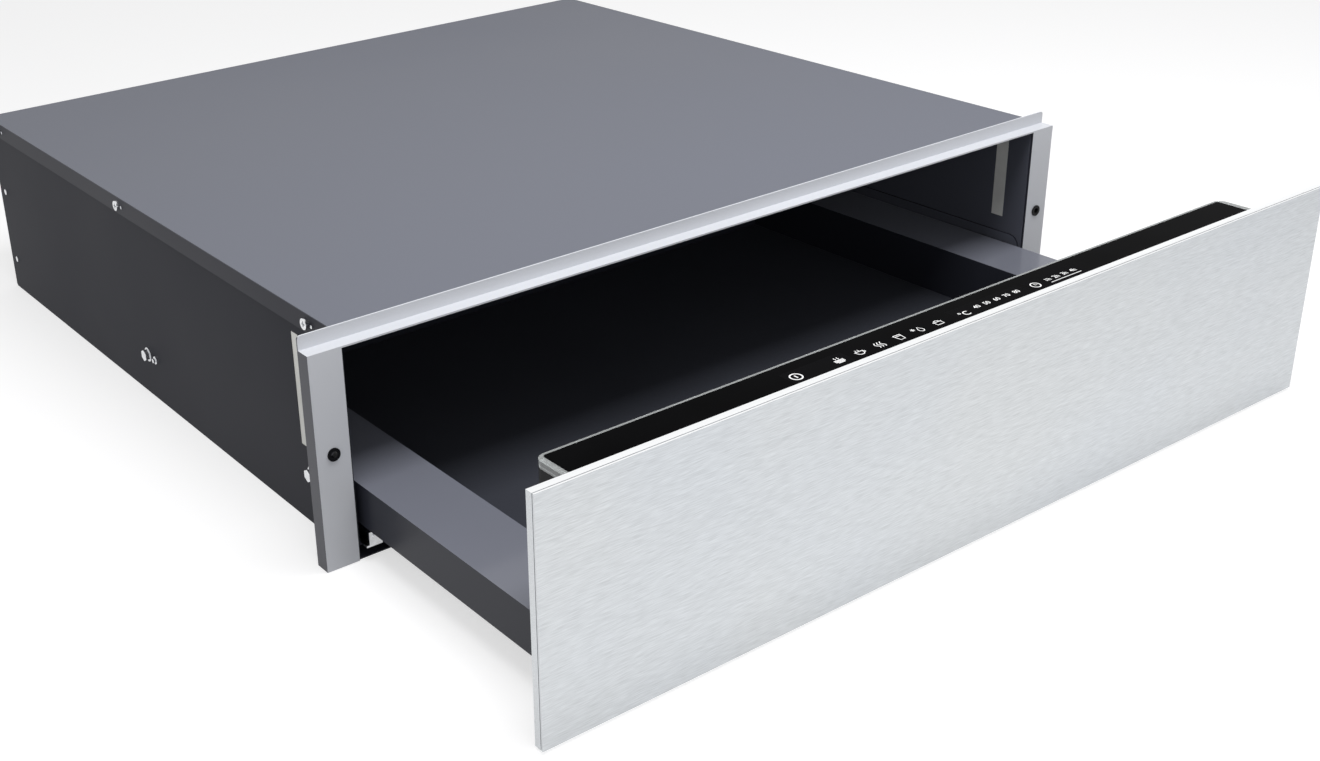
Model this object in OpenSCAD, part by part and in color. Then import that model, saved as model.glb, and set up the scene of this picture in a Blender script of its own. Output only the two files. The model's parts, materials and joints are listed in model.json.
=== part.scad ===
// Built-in warming drawer, drawn part open.
// Millimetres. X to the right, Y to the back, Z up.
// The origin is the centre of the housing's underside.

/* [Housing] */
// Depth of the housing, from the frame's front plane to the rear panel
housing_d = 528; // [500:1:560]
// Height of the housing
housing_h = 138; // [136:1:150]
// Thickness of the housing's sheet
sheet_t = 1; // [0.8:0.1:1.2]
// Height of the cover's side flanges
cover_flange_h = 11; // [8:0.5:14]
// Depth of the compartment behind the bulkhead
rear_bay_d = 108; // [104:1:120]

/* [Frame] */
// Width of the frame over both posts
frame_w = 594; // [590:1:600]
// How far the frame stands out past each side of the housing
frame_overhang = 19.5; // [15:0.5:22]
// Depth of the frame's returns
frame_d = 10.5; // [8:0.5:14]
// Drop from the housing's top to the top rail's flange
frame_drop = 7.7; // [6:0.1:9]
// Height of the top rail's upturned lip
lip_h = 8.1; // [6:0.1:10]
// Height of the fixing holes in the posts
fixing_z = 70; // [60:1:80]
// Diameter of the hole through a post's grommet
fixing_hole_d = 4; // [3.5:0.1:4.5]

/* [Front] */
// How far the steel front stands out past each side of the frame
panel_overlap = 0.5; // [0:0.5:3]
// Drop from the housing's top to the front's upper edge
panel_drop = 1.5; // [0.5:0.5:4]
// Thickness of the steel front
panel_t = 6; // [5:0.5:8]
// Height of the front's lower edge
panel_z = 1.5; // [1:0.5:3]
// Gap between the closed front and the frame
closed_gap = 6; // [5:0.5:8]
// Distance from each end of the front to the control box and its glass
glass_inset = 33.5; // [30:0.5:45]
// Depth of the control box behind the front
glass_d = 41; // [38:1:45]
// Thickness of the control glass
glass_t = 4; // [3:0.5:5]
// Drop from the front's upper edge to the control glass
glass_drop = 13; // [10:0.5:16]

/* [Drawer] */
// How far the drawer stands open
open_by = 186; // [150:1:200]
// Gap between a skirt and the slide bracket beside it
skirt_gap = 2; // [1:0.5:3]
// Width of a side ledge
ledge_w = 43; // [38:1:50]
// Height of the side ledges
ledge_z = 46; // [44:1:50]
// Height of the outer skirts
skirt_h = 26; // [22:1:28]
// Height of the tray's underside
tray_z = 9.5; // [8:0.5:10]
// Thickness of the floor mat
mat_t = 1.5; // [1:0.1:2]

/* [Slides] */
// Length of a ball cage
cage_l = 84; // [70:1:90]
// Diameter of a slide's ball
ball_d = 3.4; // [3:0.1:3.6]
// Width of the fixed rail's head
head_w = 6; // [5:0.1:6.5]
// Thickness of the rails' steel
rail_t = 1.2; // [1:0.1:1.4]
// How far the slide brackets stand above the ledges
bracket_rise = 6; // [4:1:10]

/* [Heater] */
// Gap between the fan's impeller and the heating element
impeller_gap = 2.8; // [2:0.1:4]
// Number of the impeller's blades
blade_count = 20; // [12:1:28]
// Bore of the cable gland
gland_bore_d = 8; // [7:0.5:9]

/* [Hidden] */
$fn = 48;
// Overrun of a cut past the face that it starts from
cut = 1;
// Gap between pieces that seat in each other
seat = 0.1;
// Running clearance of a shaft in its bore
running = 0.05;

front_y = -housing_d / 2;
back_y = housing_d / 2;
frame_back_y = front_y + frame_d;
housing_w = frame_w - 2 * frame_overhang;
frame_h = housing_h - frame_drop;
panel_w = frame_w + 2 * panel_overlap;
panel_top_z = housing_h - panel_drop;
glass_w = panel_w - 2 * glass_inset;
glass_z = panel_top_z - glass_drop;
cover_x = housing_w / 2;
wall_x = cover_x - sheet_t;
wall_in_x = wall_x - sheet_t;
cover_z = housing_h - sheet_t;
rail_z = frame_h - sheet_t;
post_x = frame_w / 2;
closed_back_y = front_y - closed_gap;
panel_back_y = closed_back_y - open_by;
panel_front_y = panel_back_y - panel_t;
glass_back_y = panel_back_y + glass_d;
bulkhead_y = back_y - rear_bay_d;
latch_reach = 8;
striker_t = 1.5;
latch_gap = 0.3;
tray_back_y = bulkhead_y - latch_reach - striker_t - latch_gap - open_by;

// Frame corner and hole sizes
lip_r = 2;
grommet_r = 3.85;
grommet_neck_r = 2.9;
grommet_proud = 0.8;
grommet_tail = 2;
fixing_x = (wall_x + post_x) / 2;

// Side wall slots and the light strips that fill them, left and right, measured back from the frame's
// front plane. The photograph shows the left one from outside and the right one from inside.
slot_back = [49, 19];
slot_w = [8, 10];
slot_bottom_z = [50, 63];
slot_top_drop = 18;
strip_t = 0.8;

// Places of the fasteners in a side wall, measured back from the frame's front plane
cover_screw_ahead = 35;
cover_screw_mid = 285;
cover_screw_end = 24;
cover_screw_back = [cover_screw_ahead, cover_screw_mid, housing_d - cover_screw_end];
cover_screw_drop = 6;
cover_pip_ahead = 6;
bolt_back = [46, 269];
bolt_z = [35, 31];
nut_ahead = 12;
rivet_end = 13;
rivet_back = housing_d - rivet_end;
rivet_z = [81, 26];
screw_head_r = 3.3;
screw_head_h = 2.2;
screw_shank_r = 1.8;
screw_reach = 5;
cross_w = 0.9;
cross_depth = 1;
pip_r = 1.1;
pip_h = 0.7;
flange_r = 4.9;
flange_h = 1.1;
hex_r = 4;
hex_h = 3;
nut_r = 3;
bolt_shank_r = 2.3;
rivet_r = 2.2;
rivet_h = 1;
rivet_shank_r = 1.4;

// Slide brackets
bracket_t = 1.5;
bracket_back = 3;
bracket_foot_z = 7.5;
bracket_foot_w = 18;
bracket_lip_z = 2;
bracket_r = 8;
bracket_z = ledge_z + bracket_rise;
bracket_hole_r = 2.4;
bracket_hole_drop = 8.5;
bracket_hole_z = bracket_z - bracket_hole_drop;
bracket_holes_back = [15, 24, 32, 46, 54, 63];
bracket_x = wall_in_x - bracket_t;
bracket_y = front_y + bracket_back;
bracket_l = bulkhead_y - bracket_y - bracket_back;
wing_z = bracket_foot_z + bracket_t;
skirt_x = bracket_x - skirt_gap;
tray_x = skirt_x - ledge_w;
skirt_z = ledge_z - skirt_h;

// Rails: the fixed rail's head stands inside the drawer rail, with balls down both sides
rail_proud = 4.5;
rail_inset = 10;
rail_x = skirt_x - rail_inset;
rail_end_gap = 9.5;
drawer_rail_top_z = ledge_z - sheet_t;
head_gap = 3.8;
head_top_z = drawer_rail_top_z - rail_t - head_gap;
ball_play = 0.25;
ball_gap = ball_d + 2 * ball_play;
channel_w = head_w + 2 * ball_gap;
channel_drop = 18;
channel_bottom_z = head_top_z - channel_drop;
ball_row_drop = [12, 4];
ball_row_z = [head_top_z - ball_row_drop[0], head_top_z - ball_row_drop[1]];
balls_in_row = 7;
cage_t = 0.7;
cage_gap = 1.3;
cage_top_z = head_top_z + cage_gap;
fixed_rail_y = front_y - rail_proud;
fixed_rail_l = bulkhead_y - rail_end_gap - fixed_rail_y;
drawer_rail_y = panel_back_y + 2 * rail_proud;
drawer_rail_l = tray_back_y - drawer_rail_y;
// The cage sits so that it stays in both rails, from shut to fully open
cage_closed_back = 165;
cage_y = fixed_rail_y + cage_closed_back - open_by / 2;
slide_rivet_first = 20;
slide_rivet_end = 34;
slide_rivet_last = bracket_l - slide_rivet_end;
slide_rivet_back = [slide_rivet_first, (slide_rivet_first + slide_rivet_last) / 2, slide_rivet_last];
slide_rivet_x = (bracket_x + rail_x + head_w / 2) / 2;
slide_rivet_r = 2.6;
// An upright stop with a pin, at the front end of the fixed rail's wing
stop_w = 7;
stop_h = 9;
stop_pin_r = 1.6;
stop_pin_l = 1;

// Base pan
base_flange_h = 6;
base_lip_h = 4;
vent_w = 4;
vent_l = 30;
vent_pitch = 10;
base_vent_end = 12;

// Rear panel
rear_flange_w = 18;
rear_vent_count = 14;
rear_vent_drop = 15;
rear_vent_z = cover_z - rear_vent_drop - vent_l;
rear_vent_x = (rear_vent_count - 1) * vent_pitch / 2;

// Bulkhead grille and ports
inlet_r = 26;
inlet_hole_r = 3.5;
inlet_ring_shares = [0, 0.42, 0.84];
inlet_ring_counts = [1, 6, 12];
outlet_w = 6;
outlet_pitch = 16;
outlet_count = 6;
probe_r = 2.5;

// Fan shroud, element, motor
board_side_gap = 11.5;
board_w = 58;
board_x = wall_in_x - board_side_gap - board_w;
shroud_side_gap = 6;
shroud_x = board_x - shroud_side_gap;
shroud_d = 44;
shroud_bottom_z = 22;
shroud_top_drop = 12;
shroud_top_z = housing_h - shroud_top_drop;
shroud_t = 0.8;
shroud_back_y = bulkhead_y + sheet_t + shroud_d;
fan_z = (shroud_bottom_z + shroud_top_z) / 2;
outlet_margin = [24, 22];
outlet_x = shroud_x - outlet_margin[0] - (outlet_count - 1) * outlet_pitch - outlet_w;
outlet_h = shroud_top_z - shroud_bottom_z - 2 * outlet_margin[1];
probe_gap = 15;
probe_drop = 26;
probe_x = shroud_x + probe_gap;
probe_z = shroud_top_z - probe_drop;
element_tube_r = 3.2;
element_gap = 2;
element_r = shroud_top_z - fan_z - shroud_t - element_gap - element_tube_r;
impeller_r = element_r - element_tube_r - impeller_gap;
ferrule_r = 4;
element_back = 24;
element_y = bulkhead_y + element_back;
element_leg_tail = 10;
element_leg_x = 14;
element_leg_z = fan_z + sqrt(element_r * element_r - element_leg_x * element_leg_x);
clip_w = 8;
motor_r = 27;
motor_l = 30;
motor_foot_t = 1.5;
motor_foot_w = 12;
motor_post_x = 42;
motor_post_r = 4;
shaft_r = 2.5;
hub_r = 8;
impeller_back = 8;
impeller_y = bulkhead_y + impeller_back;
impeller_l = 22;
impeller_plate_t = 1.5;
blade_t = 0.8;
blade_inner_share = 0.62;
motor_stand = 8;
cutout_inset = 50;
cutout_x = shroud_x - cutout_inset;
cutout_r = 9;
cutout_h = 6;

// Electronics
board_end_gap = 12;
board_size = [board_w, rear_bay_d - 2 * board_end_gap];
board_t = 1.6;
board_z = 12;
board_corner = [board_x, bulkhead_y + board_end_gap];
standoff_r = 3;
standoff_inset = 5;
relay_size = [16, 19, 15];
relay_count = 3;
relay_pitch = 22;
cap_r = 6;
cap_h = 18;
choke_size = [24, 26, 20];
plug_size = [10, 34, 9];
terminal_size = [34, 22, 20];
terminal_ways = 3;
terminal_screw_r = 2;
gland_inset = 47.5;
gland_x = gland_inset - wall_in_x;
gland_z = 34;
gland_thread_r = 8;
gland_flange_r = 11;
gland_flange_t = 4;
gland_cap_r = 9;
gland_cap_l = 8;
gland_inner_l = 8;
gland_nut_t = 4;
gland_nut_r = 11.5;

// Push latch
latch_w = 24;
latch_l = 60;
latch_rise = 4.5;
latch_z = tray_z + latch_rise;
latch_wall = 1.4;
plunger_r = 3;
plunger_tip_r = 4.6;
plunger_tip_l = 3;
plunger_l = 48;
latch_bore_l = 52;
latch_top_z = latch_z + plunger_tip_r + latch_wall;

// Drawer front
skin_t = 1;
box_t = 2;
seam_back = 1.1;
seam_w = 0.5;
seam_depth = 0.5;
glass_corner_r = 6;
touch_t = 1.6;
touch_end_gap = 99;
touch_w = glass_w - 2 * touch_end_gap;
touch_inset = 4;
front_screw_inset = 29;
front_screw_pitch = 130;
front_screw_outer = tray_x - front_screw_inset;
front_screw_inner = front_screw_outer - front_screw_pitch;
front_screw_x = [-front_screw_outer, -front_screw_inner, front_screw_inner, front_screw_outer];
front_screw_drop = 16;
front_screw_z = ledge_z - front_screw_drop;
front_screw_l = 4;
bumper_r = 4;
bumper_t = closed_gap - 0.5 * skin_t;
bumper_inset = 18.5;
bumper_z = [panel_z + bumper_inset, panel_top_z - bumper_inset];
striker_w = 26;
striker_h = 12;

panel_grey = [0.83, 0.84, 0.85];
frame_grey = [0.66, 0.68, 0.72];
housing_grey = [0.20, 0.21, 0.25];
cover_grey = [0.47, 0.49, 0.53];
tray_grey = [0.50, 0.52, 0.56];
zinc_grey = [0.80, 0.81, 0.83];

module both_sides() {
    children();
    mirror([1, 0, 0]) children();
}

// A sheet profile drawn in X and Z, run along Y
module along_y(start_y, length) {
    translate([0, start_y + length, 0]) rotate([90, 0, 0]) linear_extrude(length) children();
}

module slab(low, high) {
    translate(low) cube([high[0] - low[0], high[1] - low[1], high[2] - low[2]]);
}

// A round bar or hole along X that starts at start_x
module rod_x(start_x, y, z, r, length, sides = $fn) {
    translate([start_x, y, z]) rotate([0, 90, 0]) cylinder(r = r, h = length, $fn = sides);
}

// A round bar or hole along Y that starts at start_y
module rod_y(x, start_y, z, r, length, sides = $fn) {
    translate([x, start_y, z]) rotate([-90, 0, 0]) cylinder(r = r, h = length, $fn = sides);
}

module base_pan() {
    vents_y = back_y - base_vent_end - vent_l;
    color(housing_grey) difference() {
        union() {
            slab([-wall_in_x, front_y + sheet_t, 0], [wall_in_x, back_y - sheet_t, sheet_t]);
            both_sides() slab([wall_in_x - sheet_t, bracket_y, 0],
                [wall_in_x, back_y - rear_flange_w - sheet_t, sheet_t + base_flange_h]);
            slab([-bracket_x + bracket_foot_w, front_y + sheet_t, 0],
                [bracket_x - bracket_foot_w, front_y + 2 * sheet_t, base_lip_h]);
        }
        for (i = [-rear_vent_count / 2 : rear_vent_count / 2])
            slab([i * vent_pitch - vent_w / 2 + latch_w * sign(i), vents_y, -cut],
                [i * vent_pitch + vent_w / 2 + latch_w * sign(i), vents_y + vent_l, sheet_t + cut]);
    }
}

module side_panel(side) {
    color(housing_grey) difference() {
        slab([wall_in_x, front_y + sheet_t, 0], [wall_x, back_y - sheet_t, cover_z]);
        slab([wall_in_x - cut, front_y, rail_z], [wall_x + cut, frame_back_y, cover_z + cut]);
        wall_slot(side, wall_in_x - cut, wall_x + cut, 0);
        for (back = cover_screw_back)
            rod_x(wall_in_x - cut, front_y + back, housing_h - cover_screw_drop, screw_shank_r + seat,
                sheet_t + 2 * cut);
        for (i = [0 : len(bolt_back) - 1])
            rod_x(wall_in_x - cut, front_y + bolt_back[i], bolt_z[i], bolt_shank_r + seat, sheet_t + 2 * cut);
        for (z = rivet_z)
            rod_x(wall_in_x - cut, front_y + rivet_back, z, rivet_shank_r + seat, sheet_t + 2 * cut);
    }
}
module side_panel_right() side_panel(1);
module side_panel_left() mirror([1, 0, 0]) side_panel(0);

// The space of a side wall's slot, or of what fills it with a margin all round
module wall_slot(side, low_x, high_x, margin) {
    slab([low_x, front_y + slot_back[side] + margin, slot_bottom_z[side] + margin],
        [high_x, front_y + slot_back[side] + slot_w[side] - margin, housing_h - slot_top_drop - margin]);
}

module rear_panel() {
    color(housing_grey) difference() {
        union() {
            slab([-wall_x, back_y - sheet_t, sheet_t], [wall_x, back_y, cover_z]);
            both_sides() slab([wall_in_x - sheet_t, back_y - rear_flange_w, sheet_t],
                [wall_in_x, back_y - sheet_t, cover_z]);
        }
        rod_y(gland_x, back_y - sheet_t - cut, gland_z, gland_thread_r + seat, sheet_t + 2 * cut);
        both_sides() for (z = rivet_z)
            rod_x(wall_in_x - sheet_t - cut, front_y + rivet_back, z, rivet_shank_r + seat,
                sheet_t + 2 * cut);
        for (i = [0 : rear_vent_count - 1])
            slab([rear_vent_x - i * vent_pitch - vent_w / 2, back_y - sheet_t - cut, rear_vent_z],
                [rear_vent_x - i * vent_pitch + vent_w / 2, back_y + cut, rear_vent_z + vent_l]);
    }
}

module top_cover() {
    color(cover_grey) difference() {
        union() {
            slab([-cover_x, frame_back_y, cover_z], [cover_x, back_y, housing_h]);
            both_sides() slab([wall_x, frame_back_y, cover_z - cover_flange_h],
                [cover_x, back_y - 2 * sheet_t, cover_z]);
        }
        both_sides() for (back = cover_screw_back)
            rod_x(wall_x - cut, front_y + back, housing_h - cover_screw_drop, screw_shank_r + seat,
                sheet_t + 2 * cut);
    }
}

module front_post() {
    color(frame_grey) difference() {
        union() {
            slab([wall_x, front_y, 0], [post_x, front_y + sheet_t, rail_z]);
            slab([post_x - sheet_t, front_y, 0], [post_x, frame_back_y, rail_z]);
            slab([wall_x, front_y, 0], [wall_x + sheet_t, frame_back_y, rail_z]);
        }
        rod_y(fixing_x, front_y - cut, fixing_z, grommet_neck_r + seat, sheet_t + 2 * cut);
    }
}
module front_post_right() front_post();
module front_post_left() mirror([1, 0, 0]) front_post();

module top_rail() {
    color(frame_grey) {
        slab([-post_x, front_y, rail_z], [post_x, frame_back_y, frame_h]);
        translate([0, frame_back_y, frame_h]) rotate([90, 0, 0]) linear_extrude(sheet_t) lip_outline();
    }
}
// The lip's outline: square at its foot, with rounded upper corners
module lip_outline() {
    translate([-post_x, 0]) square([2 * post_x, lip_h - lip_r]);
    translate([lip_r - post_x, 0]) square([2 * (post_x - lip_r), lip_h]);
    for (side = [-1, 1]) translate([side * (post_x - lip_r), lip_h - lip_r]) circle(lip_r);
}

module post_grommets() {
    color([0.05, 0.05, 0.06]) both_sides() difference() {
        union() {
            rod_y(fixing_x, front_y - grommet_proud, fixing_z, grommet_r, grommet_proud);
            rod_y(fixing_x, front_y - grommet_proud, fixing_z, grommet_neck_r,
                grommet_proud + sheet_t + grommet_tail);
        }
        rod_y(fixing_x, front_y - grommet_proud - cut, fixing_z, fixing_hole_d / 2,
            grommet_proud + sheet_t + grommet_tail + 2 * cut);
    }
}

// A pan head with a cross recess, on the face at x, with its shank inwards
module side_screw(x, y, z) {
    difference() {
        union() {
            rod_x(x, y, z, screw_head_r, screw_head_h);
            rod_x(x - screw_reach, y, z, screw_shank_r, screw_reach + sheet_t / 2);
        }
        for (turn = [0, 90]) translate([x + screw_head_h, y, z]) rotate([turn, 0, 0])
            cube([2 * cross_depth, cross_w, screw_head_r], center = true);
    }
}
module cover_screws() {
    color(zinc_grey) both_sides() for (back = cover_screw_back) {
        side_screw(cover_x, front_y + back, housing_h - cover_screw_drop);
        rod_x(cover_x, front_y + back - cover_pip_ahead, housing_h - cover_screw_drop, pip_r, pip_h);
    }
}

module slide_bolts() {
    shank_l = sheet_t + bracket_t - seat;
    color(zinc_grey) both_sides() for (i = [0 : len(bolt_back) - 1]) {
        rod_x(wall_x, front_y + bolt_back[i], bolt_z[i], flange_r, flange_h);
        rod_x(wall_x + flange_h, front_y + bolt_back[i], bolt_z[i], hex_r, hex_h, 6);
        rod_x(wall_x - shank_l, front_y + bolt_back[i], bolt_z[i], bolt_shank_r, shank_l);
        if (i > 0) {
            rod_x(wall_x, front_y + bolt_back[i] - nut_ahead, bolt_z[i], nut_r, hex_h / 2, 6);
            rod_x(wall_x + hex_h / 2, front_y + bolt_back[i] - nut_ahead, bolt_z[i], nut_r / 2, hex_h / 2);
        }
    }
}

module rear_rivets() {
    color(zinc_grey) both_sides() for (z = rivet_z) {
        rod_x(wall_x, front_y + rivet_back, z, rivet_r, rivet_h);
        rod_x(wall_in_x - sheet_t, front_y + rivet_back, z, rivet_shank_r, 2 * sheet_t);
        rod_x(wall_in_x - sheet_t - rivet_h, front_y + rivet_back, z, rivet_r, rivet_h);
    }
}

module wall_strip(side) {
    color([0.92, 0.92, 0.90]) wall_slot(side, wall_in_x, wall_in_x + strip_t, seat);
}
module wall_strip_right() wall_strip(1);
module wall_strip_left() mirror([1, 0, 0]) wall_strip(0);

// An upright flange on the wall, and a foot that carries the fixed rail
module slide_bracket() {
    foot_x = bracket_x - bracket_foot_w;
    color(housing_grey) difference() {
        union() {
            slab([bracket_x, bracket_y, bracket_foot_z], [wall_in_x, bracket_y + bracket_l, bracket_z]);
            slab([foot_x, bracket_y, bracket_foot_z], [bracket_x, bracket_y + bracket_l, wing_z]);
            slab([foot_x, bracket_y, bracket_lip_z], [foot_x + bracket_t, bracket_y + bracket_l, wing_z]);
        }
        for (back = bracket_holes_back)
            rod_x(bracket_x - cut, front_y + back, bracket_hole_z, bracket_hole_r, bracket_t + 2 * cut);
        for (i = [0 : len(bolt_back) - 1])
            rod_x(bracket_x - cut, front_y + bolt_back[i], bolt_z[i], bolt_shank_r + seat,
                bracket_t + 2 * cut);
        for (back = slide_rivet_back) translate([slide_rivet_x, bracket_y + back, bracket_foot_z - cut])
            cylinder(r = rivet_shank_r + seat, h = bracket_t + 2 * cut);
        bracket_corner();
    }
}
// The waste outside the rounded upper front corner
module bracket_corner() {
    difference() {
        slab([bracket_x - cut, bracket_y - cut, bracket_z - bracket_r],
            [wall_in_x + cut, bracket_y + bracket_r, bracket_z + cut]);
        rod_x(bracket_x - 2 * cut, bracket_y + bracket_r, bracket_z - bracket_r, bracket_r,
            bracket_t + 4 * cut);
    }
}
module slide_bracket_right() slide_bracket();
module slide_bracket_left() mirror([1, 0, 0]) slide_bracket();

// A hollow head on edge, and a wing that rests on the bracket's foot
module fixed_rail_outline() {
    half = head_w / 2;
    polygon([[rail_x - half, wing_z], [rail_x - half, head_top_z], [rail_x + half, head_top_z],
        [rail_x + half, wing_z + rail_t], [bracket_x - seat, wing_z + rail_t], [bracket_x - seat, wing_z],
        [rail_x + half - rail_t, wing_z], [rail_x + half - rail_t, head_top_z - rail_t],
        [rail_x - half + rail_t, head_top_z - rail_t], [rail_x - half + rail_t, wing_z]]);
}
module slide_fixed() {
    color(zinc_grey) difference() {
        union() {
            along_y(fixed_rail_y, fixed_rail_l) fixed_rail_outline();
            rail_stop();
        }
        for (back = slide_rivet_back) translate([slide_rivet_x, bracket_y + back, wing_z - cut])
            cylinder(r = rivet_shank_r + seat, h = rail_t + 2 * cut);
    }
}
module rail_stop() {
    low_x = rail_x + head_w / 2;
    slab([low_x, fixed_rail_y, wing_z], [low_x + stop_w, fixed_rail_y + rail_t, wing_z + stop_h]);
    rod_y(low_x + stop_w / 2, fixed_rail_y - stop_pin_l, wing_z + stop_h - 2 * stop_pin_r, stop_pin_r,
        stop_pin_l + rail_t);
}
module slide_fixed_right() slide_fixed();
module slide_fixed_left() mirror([1, 0, 0]) slide_fixed();

module slide_rivets() {
    color(zinc_grey) both_sides() for (back = slide_rivet_back)
        translate([slide_rivet_x, bracket_y + back, 0]) {
            translate([0, 0, bracket_foot_z]) cylinder(r = rivet_shank_r, h = bracket_t + rail_t);
            translate([0, 0, wing_z + rail_t]) cylinder(r = slide_rivet_r, h = rivet_h);
            translate([0, 0, bracket_foot_z - rivet_h]) cylinder(r = slide_rivet_r, h = rivet_h);
        }
}

module cage_outline() {
    half = (head_w + ball_gap) / 2;
    low_z = ball_row_z[0] - ball_d;
    difference() {
        translate([rail_x - half - cage_t / 2, low_z])
            square([2 * half + cage_t, cage_top_z + cage_t - low_z]);
        translate([rail_x - half + cage_t / 2, low_z - cut])
            square([2 * half - cage_t, cage_top_z - low_z + cut]);
    }
}
// Each ball's place along the cage
function ball_at(i) = cage_y + cage_l * (i + 0.5) / balls_in_row;
module ball_cage() {
    half = (head_w + ball_gap) / 2;
    color([0.72, 0.74, 0.70]) difference() {
        along_y(cage_y, cage_l) cage_outline();
        for (z = ball_row_z) for (i = [0 : balls_in_row - 1])
            rod_x(rail_x - half - ball_d, ball_at(i), z, ball_d / 2 + seat, 2 * (half + ball_d), 24);
    }
}
module ball_cage_right() ball_cage();
module ball_cage_left() mirror([1, 0, 0]) ball_cage();

module slide_balls() {
    half = (head_w + ball_gap) / 2;
    color(zinc_grey) for (side = [-1, 1]) for (z = ball_row_z) for (i = [0 : balls_in_row - 1])
        translate([rail_x + side * half, ball_at(i), z]) sphere(r = ball_d / 2, $fn = 24);
}
module slide_balls_right() slide_balls();
module slide_balls_left() mirror([1, 0, 0]) slide_balls();

// An upturned channel over the fixed rail's head
module slide_drawer() {
    half = channel_w / 2;
    color(zinc_grey) along_y(drawer_rail_y, drawer_rail_l) difference() {
        translate([rail_x - half - rail_t, channel_bottom_z])
            square([channel_w + 2 * rail_t, drawer_rail_top_z - channel_bottom_z]);
        translate([rail_x - half, channel_bottom_z - cut])
            square([channel_w, drawer_rail_top_z - rail_t - channel_bottom_z + cut]);
    }
}
module slide_drawer_right() slide_drawer();
module slide_drawer_left() mirror([1, 0, 0]) slide_drawer();

module bulkhead() {
    color(cover_grey) difference() {
        slab([sheet_t - wall_in_x, bulkhead_y, sheet_t],
            [wall_in_x - sheet_t, bulkhead_y + sheet_t, cover_z]);
        for (ring = [0 : len(inlet_ring_shares) - 1]) for (k = [0 : inlet_ring_counts[ring] - 1]) {
            turn = 360 * k / inlet_ring_counts[ring];
            reach = inlet_ring_shares[ring] * inlet_r;
            rod_y(reach * cos(turn), bulkhead_y - cut, fan_z + reach * sin(turn), inlet_hole_r,
                sheet_t + 2 * cut, 24);
        }
        both_sides() for (i = [0 : outlet_count - 1])
            slab([outlet_x + i * outlet_pitch, bulkhead_y - cut, fan_z - outlet_h / 2],
                [outlet_x + i * outlet_pitch + outlet_w, bulkhead_y + sheet_t + cut, fan_z + outlet_h / 2]);
        rod_y(probe_x, bulkhead_y - cut, probe_z, probe_r + seat, sheet_t + 2 * cut);
        rod_y(0, bulkhead_y - cut, latch_z, plunger_tip_r + seat, sheet_t + 2 * cut);
    }
}

// A box open to the bulkhead, round the impeller and the element
module fan_shroud() {
    color(zinc_grey) difference() {
        slab([-shroud_x, bulkhead_y + sheet_t, shroud_bottom_z], [shroud_x, shroud_back_y, shroud_top_z]);
        slab([shroud_t - shroud_x, bulkhead_y, shroud_bottom_z + shroud_t],
            [shroud_x - shroud_t, shroud_back_y - shroud_t, shroud_top_z - shroud_t]);
        rod_y(0, shroud_back_y - shroud_t - cut, fan_z, hub_r + cut, shroud_t + 2 * cut);
        for (side = [-1, 1])
            rod_y(side * element_leg_x, shroud_back_y - shroud_t - cut, element_leg_z,
                ferrule_r + seat, shroud_t + 2 * cut);
    }
}

// A ring of tube round the impeller, open at its top, whose ends sit in two straight ferrules
module heating_element() {
    leg_turn = asin(element_leg_x / element_r);
    color([0.35, 0.34, 0.33]) {
        translate([0, element_y, fan_z]) rotate([90, 0, 0]) rotate([0, 0, 90 + leg_turn])
            rotate_extrude(angle = 360 - 2 * leg_turn) translate([element_r, 0]) circle(element_tube_r);
        for (side = [-1, 1])
            rod_y(side * element_leg_x, element_y - ferrule_r, element_leg_z, ferrule_r,
                shroud_back_y + element_leg_tail + ferrule_r - element_y);
    }
}

module element_clips() {
    color(zinc_grey) for (turn = [30, 90, 150]) translate([0, 0, fan_z]) rotate([0, turn, 0])
        slab([element_r + element_tube_r + seat, element_y - element_tube_r, -clip_w / 2],
            [element_r + element_tube_r + seat + shroud_t, shroud_back_y - shroud_t, clip_w / 2]);
}

module fan_motor() {
    color([0.30, 0.30, 0.32]) {
        rod_y(0, shroud_back_y + motor_stand, fan_z, motor_r, motor_l);
        rod_y(0, shroud_back_y + motor_stand - 2 * motor_foot_t, fan_z, hub_r, 2 * motor_foot_t);
        rod_y(0, impeller_y + impeller_plate_t, fan_z, shaft_r,
            shroud_back_y + motor_stand - impeller_y - impeller_plate_t);
    }
}

// A strap across the motor's face, on two pillars that stand on the shroud
module motor_bracket() {
    strap_y = shroud_back_y + motor_stand - motor_foot_t;
    color(zinc_grey) {
        difference() {
            slab([-motor_post_x - motor_foot_w / 2, strap_y, fan_z - motor_foot_w],
                [motor_post_x + motor_foot_w / 2, strap_y + motor_foot_t, fan_z + motor_foot_w]);
            rod_y(0, strap_y - cut, fan_z, hub_r + seat, motor_foot_t + 2 * cut);
        }
        for (side = [-1, 1])
            rod_y(side * motor_post_x, shroud_back_y, fan_z, motor_post_r, motor_stand - motor_foot_t);
    }
}

module fan_impeller() {
    inner_r = impeller_r * blade_inner_share;
    blade_l = impeller_r - inner_r - blade_t;
    color([0.75, 0.76, 0.78]) difference() {
        union() {
            rod_y(0, impeller_y + impeller_l, fan_z, impeller_r, impeller_plate_t);
            rod_y(0, impeller_y, fan_z, hub_r, impeller_l);
            for (k = [0 : blade_count - 1]) translate([0, impeller_y, fan_z])
                rotate([0, 360 * k / blade_count, 0]) translate([inner_r, 0, 0])
                    cube([blade_l, impeller_l, blade_t]);
        }
        rod_y(0, impeller_y - cut, fan_z, shaft_r + running, impeller_l + impeller_plate_t + 2 * cut);
    }
}

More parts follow.
